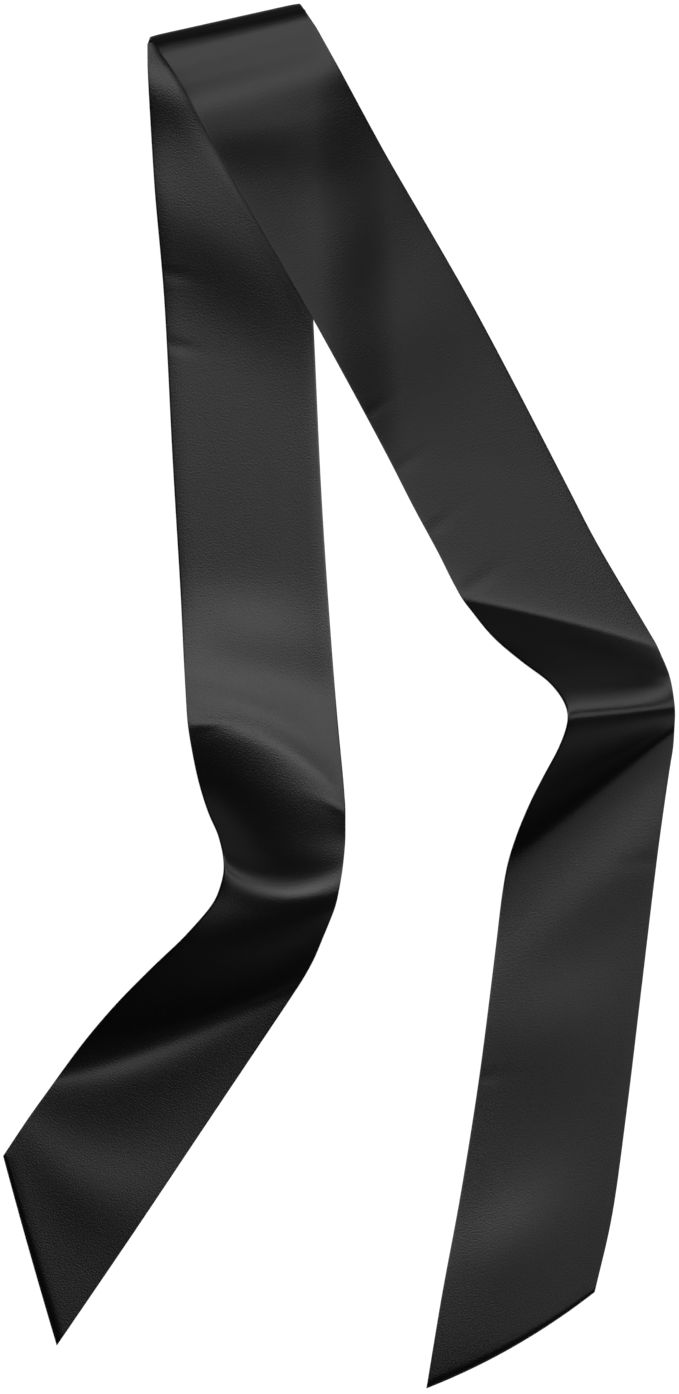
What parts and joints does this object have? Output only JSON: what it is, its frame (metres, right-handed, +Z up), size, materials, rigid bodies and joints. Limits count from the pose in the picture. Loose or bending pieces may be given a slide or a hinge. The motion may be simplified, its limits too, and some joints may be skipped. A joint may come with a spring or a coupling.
{
  "type": "skinny scarf",
  "caption": "Long narrow satin scarf with bias ends, laid out flat and folded over once at the neck, each tail standing up in one soft tented fold",
  "frame": {"origin": "middle of the scarf's footprint, on the surface that it lies on", "axes": "+Y runs up the picture, from the tails towards the neck fold, along the longest side. +X runs to the right of the picture. +Z points up off the surface."},
  "size_m": [0.3629, 0.7477, 0.0587],
  "materials": {
    "black_satin": "woven satin, soft sheen"
  },
  "bodies": {
    "root": {"front_panel_left_tail": "black_satin", "back_panel_left_tail": "black_satin", "front_panel_neck": "black_satin", "back_panel_neck": "black_satin", "front_panel_right_tail": "black_satin", "back_panel_right_tail": "black_satin"}
  },
  "joints": []
}
